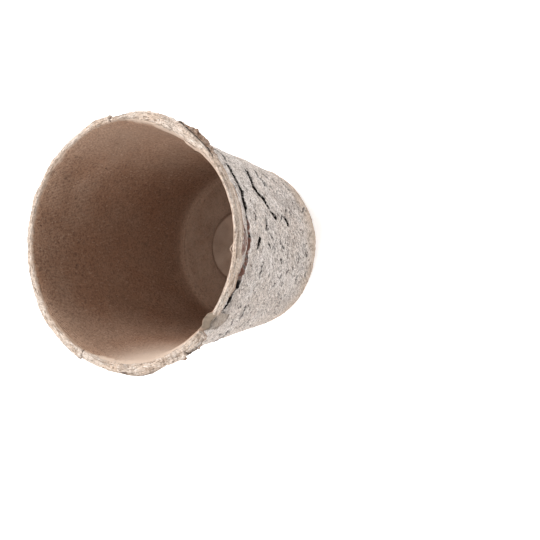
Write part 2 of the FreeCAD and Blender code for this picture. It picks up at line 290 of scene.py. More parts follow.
def turnedPly(name, outline, steps):
    # A ring, raised and widened from corner to corner of the outline and closed on itself
    radius, level = outline[0][:2]
    bpy.ops.mesh.primitive_circle_add(vertices=steps, radius=radius * mm, location=(0, 0, 0))
    piece = bpy.context.object
    piece.name = piece.data.name = name
    switch("EDIT")
    bpy.ops.transform.translate(value=(0, 0, level * mm))
    for nextRadius, nextLevel, rows in outline[1:] + outline[:1]:
        bpy.ops.mesh.extrude_edges_move()
        widened = nextRadius / radius
        bpy.ops.transform.resize(value=(widened, widened, 1), center_override=(0, 0, 0))
        bpy.ops.transform.translate(value=(0, 0, (nextLevel - level) * mm))
        radius, level = nextRadius, nextLevel
    bpy.ops.mesh.select_all(action="SELECT")
    bpy.ops.mesh.remove_doubles(threshold=1e-6)
    bpy.ops.mesh.normals_make_consistent(inside=False)
    switch("OBJECT")
    for (*start, rows), (*end, nextRows) in zip(outline, outline[1:] + outline[:1]):
        if rows > 1:
            cutRows(piece, start, end, rows)
    return piece


def cutRows(piece, start, end, rows):
    # Cuts one course of faces, found by the places of its upright edges, into level rows
    points = read(piece)
    places = np.stack(polar(points)[1:], axis=1)
    atStart = np.abs(places - start).max(axis=1) < 2e-3
    atEnd = np.abs(places - end).max(axis=1) < 2e-3
    first, second = fetched(piece.data.edges, "vertices", 2).T
    upright = (atStart[first] & atEnd[second]) | (atEnd[first] & atStart[second])
    alone(piece)
    switch("EDIT")
    bpy.ops.mesh.select_mode(type="EDGE")
    bpy.ops.mesh.select_all(action="DESELECT")
    switch("OBJECT")
    piece.data.edges.foreach_set("select", upright)
    switch("EDIT")
    bpy.ops.mesh.subdivide_edgering(number_cuts=rows - 1, interpolation="LINEAR")
    switch("OBJECT")


def feltBlock(name, node, voxel, smoothing):
    # The CAD solid's shape, cut again into small even faces that can be worked like felt
    piece = added(name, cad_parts[node].data.copy())
    piece.data.name = name
    alone(piece)
    switch("EDIT")
    bpy.ops.mesh.select_all(action="SELECT")
    bpy.ops.mesh.remove_doubles(threshold=1e-6)
    switch("OBJECT")
    applied(piece, "REMESH", mode="VOXEL", voxel_size=voxel * mm)
    applied(piece, "SMOOTH", factor=0.5, iterations=smoothing)
    return piece


def thinned(piece, triangles, worked):
    # Spends the faces where the relief is, and keeps every face that wasn't worked
    piece.data.calc_loop_triangles()
    share = triangles / len(piece.data.loop_triangles)
    piece.vertex_groups.new(name="worked").add(np.flatnonzero(worked).tolist(), 1.0, "REPLACE")
    applied(piece, "DECIMATE", ratio=share, vertex_group="worked", vertex_group_factor=1000.0)
    piece.vertex_groups.clear()


# Creases and cracks, each a run of (azimuth, level) places, its half width and its depth
cracks = [
    ([(-45.6, 56.6), (-52.8, 58.8), (-57.0, 59.6), (-61.8, 59.5)], 0.32, 0.7),
    ([(-61.0, 59.4), (-64.5, 60.2), (-68.4, 61.3), (-73.0, 61.6), (-77.0, 61.2)], 0.74, 0.85),
    ([(-76.0, 61.4), (-79.3, 61.9), (-82.0, 61.4), (-85.3, 61.4)], 0.78, 0.7),
    ([(-84.5, 61.3), (-88.5, 60.7), (-92.0, 60.9), (-95.0, 61.3)], 0.56, 0.7),
    ([(-94.5, 61.5), (-97.5, 62.6), (-99.5, 62.6), (-102.5, 63.7), (-107.1, 64.3)], 1.05, 0.7),
    ([(-106.0, 64.2), (-109.5, 64.5), (-113.4, 64.9)], 0.80, 0.85),
    ([(-112.4, 64.8), (-115.2, 65.8), (-120.6, 65.5), (-124.3, 65.9)], 0.42, 0.7),
    ([(-43.2, 40.3), (-52.4, 44.5), (-59, 46.8), (-62.4, 45.8), (-65.3, 42.7), (-68.6, 41.1),
      (-71.1, 38.9)], 0.30, 0.8),
    ([(-72.4, 39.4), (-74.9, 37), (-77.1, 36)], 0.24, 0.8),
    ([(-76.5, 45), (-80.3, 45.2), (-83.6, 45.8)], 0.20, 0.75),
    ([(-86, 50.9), (-90.2, 52.6), (-93.7, 53.3)], 0.22, 0.8),
    ([(-74.5, 53.8), (-76.5, 52.9), (-78.6, 53.5)], 0.20, 0.6),
    ([(-45, 12.8), (-48.4, 12), (-51.5, 10.8)], 0.20, 0.6),
    ([(-73.7, 29), (-76.6, 27.3), (-79.5, 26.3)], 0.26, 0.85),
    ([(-40.8, 31.5), (-49.1, 35.2)], 0.15, 0.4),
    ([(-49.7, 32.5), (-55.7, 32.8)], 0.15, 0.4),
    ([(-135.4, 44.7), (-124, 49.1)], 0.15, 0.45),
    ([(67, 39.8), (68, 41.6), (69, 44), (71.5, 47)], 0.14, 0.6),
    ([(88, 34.7), (89.6, 34.9), (92, 36.9), (95.5, 38.8)], 0.15, 0.65),
    ([(96, 35.9), (99, 37.2), (102.9, 36.6), (106, 37.5), (109.3, 36.9)], 0.14, 0.55),
    ([(161, 32.2), (153, 31.2), (147, 28.9), (143, 29.4), (136.4, 32.3)], 0.15, 0.6),
    ([(70, 7.2), (73.6, 9), (77.4, 9.7)], 0.16, 0.55),
    ([(30.8, 45.3), (39, 48.4), (46.7, 47.9)], 0.13, 0.5),
    ([(82.8, 41.8), (84.5, 39.6), (87.6, 38.5)], 0.13, 0.45),
    ([(174, 19.6), (168, 17.2), (157.4, 13.7)], 0.13, 0.5),
]


# How far from a crack the felt is still worked, in degrees and in millimetres
crackReach = {"turn": 22, "level": 2.5}


def addShortCracks(count, levels):
    # Many short creases between the named ones, most of them near 45 degrees
    for index in range(count):
        azimuth, level = feltRandom.uniform(0, 360), feltRandom.uniform(*levels)
        reach = 0.7 + feltRandom.exponential(0.7)
        angle = math.radians(feltRandom.choice([-42, 42, 42, 5]) + feltRandom.normal(0, 12))
        swing = math.degrees(reach * math.cos(angle) / (pot["footRadius"] + pot["slope"] * level))
        rise = reach * math.sin(angle)
        bend = feltRandom.normal(0, 0.3)
        run = [(azimuth - swing, level - rise), (azimuth, level + bend), (azimuth + swing, level + rise)]
        cracks.append((run, feltRandom.uniform(0.10, 0.22), feltRandom.uniform(0.2, 0.5)))


def crackRelief(points):
    # Depth of the cracks, with the felt lifted along their lower side, how far a place lies in a crack, which
    # is painted dark as shade, and how far it is lifted, which gets a painted highlight
    azimuths, radii, levels = polar(points)
    relief, torn, lifted = np.zeros((3, len(points)))
    order = np.argsort(levels)
    sortedLevels = levels[order]
    for run, halfWidth, depth in cracks:
        runLevels = [level for azimuth, level in run]
        reach = crackReach["level"]
        low, high = np.searchsorted(sortedLevels, [min(runLevels) - reach, max(runLevels) + reach])
        near = order[low:high]
        centre = run[len(run) // 2][0]
        away = turnFrom(azimuths[near], centre)
        close = np.abs(away) < crackReach["turn"]
        near, away = near[close], away[close]
        here = np.stack([np.radians(away) * radii[near], levels[near]], axis=1)
        for size, sway in ((1.5, 0.34), (0.6, 0.14)):
            here = here + sway * np.stack([lumps(points[near], size, seed) for seed in (91, 92)], axis=1)
        ringRadius = pot["footRadius"] + pot["slope"] * np.mean(runLevels)
        run = [(math.radians(turnFrom(azimuth, centre)) * ringRadius, level) for azimuth, level in run]
        lengths = [math.dist(*pair) for pair in zip(run, run[1:])]
        nearest, side, passed = np.full(len(near), 9.0), np.zeros(len(near)), np.zeros(len(near))
        walked = 0.0
        for (start, end), length in zip(zip(run, run[1:]), lengths):
            line = (np.array(end) - start) / length
            offset = here - start
            forward = np.clip(offset @ line, 0, length)
            gap = np.hypot(*(offset - forward[:, None] * line).T)
            closer = gap < nearest
            nearest = np.where(closer, gap, nearest)
            above = (line[0] * offset[:, 1] - line[1] * offset[:, 0]) * np.sign(line[0])
            side = np.where(closer, above, side)
            passed = np.where(closer, (walked + forward) / sum(lengths), passed)
            walked += length
        taper = np.clip(4.5 * passed * (1 - passed) + 0.25, 0, 1)
        width = halfWidth * (0.45 + 0.75 * taper)
        cut = np.exp(-(nearest / width) ** 4)
        lift = np.exp(-((np.abs(side) - 2.3 * halfWidth) / (1.3 * halfWidth)) ** 2)
        lift = taper * (lift * (nearest < 4.5 * halfWidth)) * np.where(side < 0, 1.0, 0.25) * (1 - cut)
        relief[near] += 0.75 * depth * lift - taper * depth * cut
        # Seen from above, the inner face of the lifted edge is in the dark too
        inner = nearest - 0.7 * width * (side < 0)
        dark = min(1, 1.6 * depth) * ease(taper, 0.1, 0.4) * (1 - ease(inner / width, 0.8, 1.15))
        torn[near] = np.maximum(torn[near], dark)
        lifted[near] = np.maximum(lifted[near], lift)
    return relief, torn, lifted


# Outer felt of the wall
wall = {
    "steps": 800,
    "rows": 265,
    "thickness": 0.85,
    "foot": 0.4,
    "cornerRadius": 3.2,
    "tuckedTo": 22.6,  # runs in under the foot, past the base felt's torn border
    "triangles": 195000,
    "cornerTop": 2.8,
    "lumps": [(0.30, 11, 1), (0.16, 4.2, 2)],
    "grain": [(0.09, 1.25, 4), (0.07, 0.62, 6)],
    "shortCracks": 210,
    "shortCrackLevels": (6, 66),
    "tornTop": 70.1,  # where the lip is missing, the top slopes down outwards through this place
    "tornRadius": 36.74,
    "tornSlope": 10,
    "coreArc": (-108, -79),  # the tear under the lip shows the red-brown heart of the felt
    "heartArc": (-109, -80),  # and so does the strip from the tear up to the lip
    "tearLevel": 60.7,
    "tearBend": 268,  # from this azimuth the tear climbs as it runs left
    "tearClimb": 0.2,
    "darkArc": (78, 150),  # behind the gaping back lip the wall stays in the dark
    "darkLevels": (63.5, 68.5),
    "warmArc": (-10, 200),
}


def cornerCurve(radius, level, bend, count, rows):
    # Rounded corner from the flat foot or floor up to the wall, whose rows start at its end
    places = []
    for index in range(count + 1):
        angle = math.radians(90 - 8) * index / count
        places.append((radius - bend + bend * math.sin(angle), level + bend * (1 - math.cos(angle)), 1))
    return places[:-1] + [(*places[-1][:2], rows)]


def makeOuterWall():
    slope, foot = pot["slope"], pot["footRadius"]
    cornerOutside = foot + slope * wall["cornerTop"]
    corner = cornerCurve(cornerOutside, wall["foot"], wall["cornerRadius"], 12, wall["rows"])
    top = foot + slope * pot["seat"]
    outline = [(wall["tuckedTo"], wall["foot"], 8)] + corner + [
        (top, pot["seat"], 3), (top - wall["thickness"], pot["seat"], 1),
        (cornerOutside - wall["thickness"], wall["cornerTop"], 1),
        (wall["tuckedTo"], wall["foot"] + 0.8, 1),
    ]
    piece = turnedPly("outerWall", outline, wall["steps"])
    points, outward = read(piece), outwardOf(piece)
    azimuths, radii, levels = polar(points)
    past = radii - (foot + slope * levels)
    outside = ease(past, -0.7 * wall["thickness"], -0.2 * wall["thickness"])
    underFoot = (levels < 3.4) & (outward[:, 2] < 0.2) & (radii > wall["tuckedTo"] + 0.2)
    outside = np.maximum(outside, underFoot)
    # Slow lumps, then felt flakes that lie over each other along both helices, creases between them and pits
    relief = layered(lumps, points, wall["lumps"])
    patches = ease(lumps(points, 14, 3), -0.45, 0.35)
    for slant, seed, share in ((1, 11, patches), (-1, 12, 1 - 0.8 * patches)):
        flakes = slanted(points, 1.9, 6.5, slant, seed, 0.5) * 2.6
        step = flakes - np.floor(flakes)
        relief += share * 0.24 * (step - ease(step, 0.84, 1.0)) * (0.6 + 0.4 * lumps(points, 5, seed + 30))
        crease = np.exp(-(slanted(points, 1.25, 3.6, slant, seed + 5, 0.6) / 0.11) ** 2)
        relief -= share * 0.34 * crease * ease(lumps(points, 1.9, seed + 40), -0.1, 0.35)
    relief += layered(lumps, points, wall["grain"])
    relief -= 0.28 * ease(lumps(points, 1.0, 7), 0.42, 0.66)
    cut, torn, lifted = crackRelief(points)
    relief += cut
    nearTop = ease(levels, 69.2, pot["seat"])
    bare = bareArc(points, 1.5)
    even = withinArc(azimuths, pot["bareStart"], pot["bareEnd"] + 1, 1.5) * ease(levels, 63.5, 66)
    points = points + outward * (relief * outside * (1 - nearTop) * (1 - 0.85 * even))[:, None]
    # The felt is torn lower, and slopes, where the lip is missing
    azimuths, radii, levels = polar(points)
    slopeTop = wall["tornTop"] - wall["tornSlope"] * (radii - wall["tornRadius"])
    slopeTop = slopeTop + 0.3 * lumps(points, 1.2, 8)
    below = levels < slopeTop
    levels = np.where(below, levels, levels + bare * (slopeTop - levels))
    write(piece, dried(cartesian(azimuths, radii - pressedIn(azimuths, levels), levels)))
    core = withinArc(azimuths, *wall["coreArc"], 1.5) * ease(levels, 58, 59)
    core = core * ease(lumps(points, 1.2, 10), -0.6, -0.15)
    tearLevel = wall["tearLevel"] + wall["tearClimb"] * np.clip(wall["tearBend"] - azimuths, 0, 16)
    heart = withinArc(azimuths, *wall["heartArc"], 2.5) * outside
    heart = heart * ease(levels + 0.3 * lumps(points, 1.0, 45) - tearLevel, 0.1, 0.5)
    heartTone = heart * (1 - torn) * (0.75 + 0.25 * lumps(points, 1.5, 46))
    dark = ease(levels + 1.2 * lumps(points, 3, 13), *wall["darkLevels"])
    dark = dark * withinArc(azimuths, *wall["darkArc"], 7)
    # The felt is warmer at the foot, and a little at the back
    behind = 0.5 * withinArc(azimuths, *wall["warmArc"], 30)
    # Painted shade darkens the creases and pits, turns the cracks near black and darkens the wall under the
    # gaping back lip; a painted highlight lies along the cracks' lifted edges
    paint(
        piece, hollow=ease(-relief, 0.04, 0.36) * outside * (1 - torn) * (1 - even),
        edge=lifted * outside * (1 - torn) * (1 - heart),
        bare=bare * (1 - below * ease(slopeTop - levels, 0.1, 0.6)),
        tint=np.maximum(torn * (1 - core), 0.55 * dark) * outside,
        core=np.maximum(torn * outside * core, heartTone),
        warm=np.maximum(behind, 1 - ease(levels + 2 * lumps(points, 5, 42), 2, 13)))
    thinned(piece, wall["triangles"], outside > 0)
    return piece


addShortCracks(wall["shortCracks"], wall["shortCrackLevels"])

# Smooth inner felt, from the hollow corner at the floor up over the rounded mouth edge
lining = {
    "steps": 420,
    "rows": 120,
    "thickness": 0.55,
    "floor": 2.3,
    "floorInside": 26.573,
    "cornerRadius": 2.4,
    "seatGap": 0.05,
    "lumps": [(0.10, 9, 14), (0.05, 3.2, 15), (0.03, 1.2, 16)],
    "wear": [(0.10, 1.8, 18), (0.06, 0.8, 19)],
    "tornTop": 71.3,  # where the lip is missing, the edge slopes down outwards from this place
    "tornRadius": 36.2,
    "tornSlope": 2.2,
    "floorHaze": 0.24,  # how much paler the floor is than the wall
    "screenPitch": 0.95,  # the real screen is near 0.6, drawn coarser so that it shows
    "skinBorder": 38.0,  # radius where the pale skin of the lip starts
    "skinWaves": [(0.3, 5, 21), (0.2, 1.3, 22)],
}

# Arcs with a feather and an amount: where that skin laps further in, and where painted light makes the inner
# wall paler
skinLaps = [(-34, 1, 7, 1.0), (160, 220, 10, 1.3), (40, 75, 10, 0.4), (84, 150, 8, -0.05), (240, 340, 9, 2.6)]
paintedLightArcs = [(172, 224, 14, 0.95), (-35, 35, 16, 0.15)]


def skinBorder(points):
    # Radius where the brown inside ends and the pale skin of the lip starts
    azimuths = azimuthOf(points)
    border = lining["skinBorder"] + layered(ringNoise, azimuths, lining["skinWaves"])
    border = border + 0.12 * lumps(points, 0.8, 23)
    for *arc, depth in skinLaps:
        border = border - depth * withinArc(azimuths, *arc)
    return border


def skinShare(points):
    # 1 on the pale skin, which ends softly along the back
    past = np.hypot(points[:, 0], points[:, 1]) - skinBorder(points)
    soft = withinArc(azimuthOf(points), -20, 130, 12)
    return ease(past, -0.25 - 0.5 * soft, 0.2 + 0.3 * soft)


def makeInnerWall():
    slope, bend, floor = pot["slope"], lining["cornerRadius"], lining["floor"]
    seatBetween = pot["footRadius"] + slope * pot["seat"] - pot["felt"] + lining["thickness"]
    outline = cornerCurve(lining["floorInside"] + slope * bend, floor + 0.02, bend, 8, lining["rows"])
    curveRadii = [radius for radius, level in mouthCurve]
    places = np.interp(np.linspace(0, 5.2, 17), range(len(mouthCurve)), curveRadii)
    outline += [(radius, mouthTop(radius), 1) for radius in places]
    edge, seat = outline[-1], pot["seat"] + lining["seatGap"]
    outline += [
        (edge[0] + 0.04, edge[1] - 0.10, 3), (edge[0] + 0.04, seat, 2), (seatBetween, seat, 1),
        (lining["floorInside"] + lining["thickness"], floor, 1),
        (lining["floorInside"] - bend - 0.5, floor - 0.3, 1),
    ]
    piece = turnedPly("innerWall", outline, lining["steps"])
    points, outward = read(piece), outwardOf(piece)
    azimuths, radii, levels = polar(points)
    inside = (facingOut(outward, azimuths) < 0.1) | ((levels > 71.5) & (radii < edge[0]))
    relief = layered(lumps, points, lining["lumps"])
    relief -= 0.14 * ease(lumps(points, 1.6, 17), 0.55, 0.75)
    # The mouth's edge is more worn than the face below it
    worn = ease(levels, 69.5, 71.5)
    relief += worn * layered(lumps, points, lining["wear"])
    points = points + outward * (relief * inside)[:, None]
    azimuths, radii, levels = polar(points)
    radii = radii - 0.6 * notchArc(azimuths) * ease(levels, 68.5, 71.5)
    radii = radii - 1.2 * knobArc(azimuths) * ease(levels, 69.8, 71.2)
    bare = bareArc(points)
    slopeTop = lining["tornTop"] - lining["tornSlope"] * np.clip(radii - lining["tornRadius"], 0, 9)
    slopeTop = slopeTop + 0.35 * lumps(points, 1.6, 8)
    levels = np.where((levels > slopeTop) & (bare > 0), levels + bare * (slopeTop - levels), levels)
    write(piece, dried(cartesian(azimuths, radii - pressedIn(azimuths, levels), levels)))
    # Painted light: in those arcs the inner wall is painted paler where light falls into the mouth; low down
    # by the floor it is paler too, and the mouth's edge takes the lip's pale skin
    haze = sum(share * withinArc(azimuths, *arc) for *arc, share in paintedLightArcs) * ease(levels, 34, 67)
    haze = np.maximum(haze, lining["floorHaze"] * (1 - ease(levels, 2.6, 9)))
    skin = skinShare(points) * ease(levels + 0.8 * lumps(points, 3, 44), 68, 70.3)
    paint(
        piece, crown=np.maximum(haze, skin), hollow=ease(-relief, 0.05, 0.2) * inside,
        bare=bare * ease(levels - slopeTop, -0.4, -0.05) * ease(radii, 36.0, 36.5))
    wrapScreen(piece)
    return piece


def wrapScreen(piece):
    # Lays the forming screen's grid round the wall, with no jump where it meets itself
    layer = piece.data.uv_layers.new(name="screen")
    points = read(piece)
    corners = fetched(piece.data.loops, "vertex_index")
    starts = fetched(piece.data.polygons, "loop_start")
    totals = fetched(piece.data.polygons, "loop_total")
    turns = azimuthOf(points)[corners] / 360
    highest = np.repeat(np.maximum.reduceat(turns, starts), totals)
    turns = np.where((highest > 0.75) & (turns < 0.25), turns + 1, turns)
    around = round(fullTurn * pot["wallMiddle"] / lining["screenPitch"])
    up = points[corners, 2] / lining["screenPitch"]
    layer.data.foreach_set("uv", np.stack([turns * around, up], axis=1).astype(np.float32).ravel())


# Smooth floor felt, with the raised disc
disc = {
    "voxel": 0.34,
    "smoothing": 14,
    "lumps": [(0.10, 6, 24), (0.05, 2.2, 25)],
    "haze": 0.80,
    "wider": 1.3,  # with the felt's full thickness on its slope too
    "slopeRadii": (11.6, 12.6),
}


def makeFloorDisc():
    piece = feltBlock("floorDisc", "floor_ply", disc["voxel"], disc["smoothing"])
    points, outward = read(piece), outwardOf(piece)
    upper = outward[:, 2] > 0.2
    relief = layered(lumps, points, disc["lumps"])
    relief -= 0.10 * ease(lumps(points, 1.4, 26), 0.5, 0.75)
    points = points + outward * (relief * upper)[:, None]
    azimuths, radii, levels = polar(points)
    onSlope = ease(radii, 8.5, 10.8) * (1 - ease(radii, 13.2, 15.5)) * ease(levels, 2.6, 4.4) * upper
    radii = radii + disc["wider"] * onSlope
    write(piece, cartesian(azimuths, radii, levels))
    onDisc = 1 - ease(radii, *disc["slopeRadii"])
    haze = lining["floorHaze"] + (disc["haze"] - lining["floorHaze"]) * onDisc
    haze = haze * (1 + 0.35 * lumps(points, 2.4, 27))
    paint(piece, crown=haze, hollow=0.7 * ease(-relief, 0.05, 0.2) * upper)
    wrapScreen(piece)
    return piece


# Coarse base felt, with the pressed hollow and a torn border
base = {
    "voxel": 0.24,
    "smoothing": 4,
    "clump": 1.7,
    "hollowRadii": (9.5, 14.5),
    "raggedRadii": (21.0, 24.2),
    "ragged": [(1.0, 7, 37), (0.5, 2.2, 38)],
    "lowest": -0.04,
}


def makeBaseFelt():
    piece = feltBlock("baseFelt", "base_ply", base["voxel"], base["smoothing"])
    points, outward = read(piece), outwardOf(piece)
    azimuths, radii, levels = polar(points)
    under = outward[:, 2] < -0.15
    pressed = 1 - ease(radii, *base["hollowRadii"])
    clumps = np.abs(lumps(points, base["clump"], 31)) * 0.75 + 0.35 * np.abs(lumps(points, 0.8, 32))
    relief = (0.32 - 0.24 * pressed) * (clumps - 0.55)
    relief += (0.14 - 0.06 * pressed) * lumps(points, 4.5, 33) + 0.05 * lumps(points, 0.5, 34)
    folds = np.exp(-(lumps(points, 6, 35) / 0.07) ** 2) * ease(lumps(points, 3, 36), 0.0, 0.4)
    relief -= 0.22 * folds * (1 - pressed)
    # Clumps rise from the standing plane, so the pot still stands on its ring
    relief = np.minimum(relief, 0.08) - 0.05
    points = points + outward * (relief * under)[:, None]
    azimuths, radii, levels = polar(points)
    rim = ease(radii, *base["raggedRadii"])
    ragged = layered(ringNoise, azimuths, base["ragged"]) + 0.3 * lumps(points, 0.8, 39)
    radii = radii + rim * (ragged + 0.1)
    levels = np.maximum(levels + 0.12 * rim * lumps(points, 1.5, 40), base["lowest"])
    write(piece, cartesian(azimuths, radii, levels))
    paint(piece, hollow=ease(-relief, 0.02, 0.30) * under, tint=pressed * under)
    return piece


# Lengths of the turned lip. Joined ends run into the next length, and torn ends stay apart.
lips = {
    "lipLeft": {"node": "lip_left_pressed", "span": (153.6, 225.0), "joined": (0, 0), "wrinkles": 0.26},
    "lipFront": {"node": "lip_front_gaping", "span": (235.2, 308.5), "joined": (0, 1), "wrinkles": 0.10},
    "lipFrontFlap": {
        "node": "lip_front_flap", "span": (308.5, 333.0), "joined": (1, 1), "wrinkles": 0.10, "voxel": 0.15},
    "lipRight": {"node": "lip_right_thin", "span": (333.0, 370.0), "joined": (1, 0), "wrinkles": 0.12},
    "lipRightFlap": {
        "node": "lip_right_flap", "span": (10.0, 32.0), "joined": (0, 1), "wrinkles": 0.12, "tucked": 1.0},
    "lipBackPressed": {"node": "lip_back_pressed", "span": (32.0, 70.0), "joined": (1, 1), "wrinkles": 0.14},
    "lipBack": {"node": "lip_back_gaping", "span": (70.0, 153.6), "joined": (1, 0), "wrinkles": 0.18},
}

# What was done to those lengths, by azimuth, radius and level
lipWork = {
    "voxel": 0.24,
    "bins": 60,  # steps that a torn edge is followed in
    "ragged": [(0.55, 3.4, 51), (0.40, 1.3, 52), (0.22, 0.6, 53)],
    "lumps": [(0.15, 3.6, 56), (0.10, 1.5, 57), (0.06, 0.7, 58)],
    "lapWaves": [(0.22, 5, 54), (0.16, 1.4, 55)],
    "lapRadii": (37.75, 38.5),  # where the lip's skin feathers out over the mouth's edge
    "outside": 38.5,
    "tuckedRadii": (38.6, 40.2),
    "flapArc": (310, 331),
    "flapRadii": (39.2, 39.45),
    "creases": [(-12, 80, 1.0), (97, 140, 0.7)],
    "breaks": [(1.0, 5, 67), (0.6, 1.4, 68)],
    "grooves": [(309, 333, 39.3, 0.13), (212.5, 223, 39.05, 0.16)],  # arc, radius and half width
    "grooveDepth": 0.8,
    "splitArc": (176, 195),
    "splitWidth": 0.35,
    "shadeLineArc": (203, 222),
    "shadeLineLevel": 69.9,
}


def makeLip(name, spec):
    piece = feltBlock(name, spec["node"], spec.get("voxel", lipWork["voxel"]), 3)
    points = read(piece)
    azimuths, radii, levels = polar(points)
    start, end = spec["span"]
    middle, half = (start + end) / 2, (end - start) / 2
    away = turnFrom(azimuths, middle)
    # Joined ends reach a little into their neighbour
    for side, joined in zip((-1, 1), spec["joined"]):
        near = ease(side * away, half - 2.5, half)
        away = away + side * near * (0.55 if joined else 0.5 * lumps(points, 1.3, 50) - 0.15)
    azimuths = middle + away
    # The torn edge, its level found from the piece itself
    count = lipWork["bins"]
    along = (away + half) / (2 * half) * count
    bins = np.clip(along.astype(int), 0, count - 1)
    edgeLevels = [levels[bins == index].min() if (bins == index).any() else 69.0 for index in range(count)]
    edge = np.interp(along, np.arange(count) + 0.5, edgeLevels)
    low = 1 - ease(levels, edge, edge + 2.2)
    levels = levels + low * layered(ringNoise, azimuths, lipWork["ragged"])
    # The torn end of the right flap is tucked in beside the thin length
    if "tucked" in spec:
        tornEnd = 1 - ease(away, -half + 2, -half + 9)
        radii = radii - spec["tucked"] * tornEnd * ease(radii, *lipWork["tuckedRadii"])
    # The skin of the lip laps in a little over the mouth's edge and feathers out there
    lap = 0.30 + layered(ringNoise, azimuths, lipWork["lapWaves"])
    neck = 1 - ease(radii, *lipWork["lapRadii"])
    radii = radii - (lap + 0.6 * notchArc(azimuths) + 1.3 * knobArc(azimuths)) * neck
    levels = levels - neck * (pot["crown"] - mouthTop(radii) - 0.03)
    levels = levels - 0.20 * np.clip(radii - 38.4, 0, 3) ** 2 * ease(levels, 71.5, 73)
    points = cartesian(azimuths, radii, levels)
    write(piece, points)
    outward = outwardOf(piece)
    outside = radii > lipWork["outside"]
    crown = ease(outward[:, 2], 0.3, 0.8) * ease(levels, 71, 72.4)
    relief = layered(lumps, points, lipWork["lumps"])
    # Folds that run along the lip, and pleats across its crown
    around = round(fullTurn * pot["rimMiddle"] / 6.5)
    cells = np.stack([azimuths / 360 * around, (radii - levels) / 0.8, 0 * radii + 65.5], axis=1)
    relief += 0.24 * feltNoise(cells, 65, around)
    pleats = np.abs(ringNoise(azimuths + 1.2 * lumps(points, 5, 59), 2.4, 60))
    pleats = (1 - ease(pleats, 0.0, 0.16)) * ease(ringNoise(azimuths, 11, 61), -0.4, 0.3)
    relief -= spec["wrinkles"] * crown * pleats
    relief -= 0.2 * ease(lumps(points, 1.1, 62), 0.45, 0.68)
    # Grooves sunk into the crown, painted dark with shade
    groove = np.zeros(len(points))
    for *arc, radius, halfWidth in lipWork["grooves"]:
        offset = radii - (radius + 0.25 * ringNoise(azimuths, 4, 63))
        within = withinArc(azimuths, *arc, 1.0) * ease(levels, 71.2, 72.3)
        groove = np.maximum(groove, within * np.exp(-(offset / halfWidth) ** 4))
    flap = withinArc(azimuths, *lipWork["flapArc"], 1.5) * ease(radii, *lipWork["flapRadii"])
    relief += flap * (0.55 * lumps(points, 1.5, 66) + 0.35 * lumps(points, 0.7, 69) - 0.1)
    flap = flap * (0.72 + 0.4 * lumps(points, 1.1, 70))
    # Broken creases just outside the crown, where the lip turns down, with painted shade in them
    upward = outward[:, 2]
    turning = upward - 0.5 * np.clip(np.sin(np.radians(azimuths)), 0, 1)
    shoulder = ease(turning, -0.10, 0.0) * (1 - ease(turning, 0.06, 0.2)) * outside * ease(levels, 70.5, 71.2)
    creased = np.maximum.reduce([share * withinArc(azimuths, *arc, 3) for *arc, share in lipWork["creases"]])
    creased = creased * shoulder * ease(layered(ringNoise, azimuths, lipWork["breaks"]), -0.25, 0.25)
    relief -= 0.15 * creased
    # The left lip is split below its shoulder along one length, with painted shade on the split's upper face;
    # along a second length, lower down, a thin line of painted shade follows the lip
    split = withinArc(azimuths, *lipWork["splitArc"], 5) * outside
    radii = radii + lipWork["splitWidth"] * split * (1 - ease(levels, 71.0, 71.5))
    points = cartesian(azimuths, radii, levels)
    topOfSplit = 1 - ease(upward + 0.25 * ringNoise(azimuths, 1.2, 76), 0.5, 0.65)
    split = split * ease(upward, -0.25, 0.0) * topOfSplit * ease(levels, 70.0, 70.7)
    shadeLine = np.exp(-((levels - lipWork["shadeLineLevel"] - 0.7 * ringNoise(azimuths, 5, 77)) / 0.3) ** 4)
    shadeLine = shadeLine * withinArc(azimuths, *lipWork["shadeLineArc"], 3) * (radii > lipWork["outside"])
    split = np.maximum(split, shadeLine)
    feather = neck * ease(levels, 71.5, 72.6)
    points = points + outward * (relief * (1 - 0.8 * feather))[:, None]
    points[:, 2] -= lipWork["grooveDepth"] * groove
    azimuths, radii, levels = polar(points)
    write(piece, dried(points))
    torn = low * ease(edge + 1.6 + 0.5 * ringNoise(azimuths, 2, 64) - levels, 0, 0.8)
    # Painted shade on the lip's side that faces the wall
    gapSide = ease(-facingOut(outward, azimuths), 0.2, 0.7) * (levels < 72)
    paint(
        piece, inner=1 - skinShare(points), hollow=ease(-relief, 0.05, 0.3),
        shade=np.maximum.reduce([groove, creased, split]),
        tint=np.maximum.reduce([0.75 * torn, gapSide, flap]))
    return piece


# Loose torn felt in the front gap, and the shreds under the left lip
tornPieces = {
    "tornCore": {"node": "torn_core", "voxel": 0.16, "finish": "core", "slot": "torn_core_felt"},
    "lipShreds": {"node": "lip_shreds", "voxel": 0.12, "finish": "lip", "slot": "lip_felt"},
}
tornLumps = [(0.22, 1.3, 71), (0.14, 0.6, 72)]


def makeTornPiece(name, spec):
    piece = feltBlock(name, spec["node"], spec["voxel"], 2)
    points, outward = read(piece), outwardOf(piece)
    relief = layered(lumps, points, tornLumps)
    relief -= 0.2 * ease(lumps(points, 0.9, 73), 0.1, 0.5)
    write(piece, dried(points + outward * relief[:, None]))
    paint(piece, hollow=ease(-relief, 0.0, 0.3), tint=ease(lumps(points, 1.5, 74), -0.2, 0.4))
    return piece


# Materials
def linear(code):
    # An sRGB hex colour as the linear light that shaders mix
    shares = [int(code[start:start + 2], 16) / 255 for start in (0, 2, 4)]
    return [part / 12.92 if part <= 0.04045 else ((part + 0.055) / 1.055) ** 2.4 for part in shares] + [1.0]


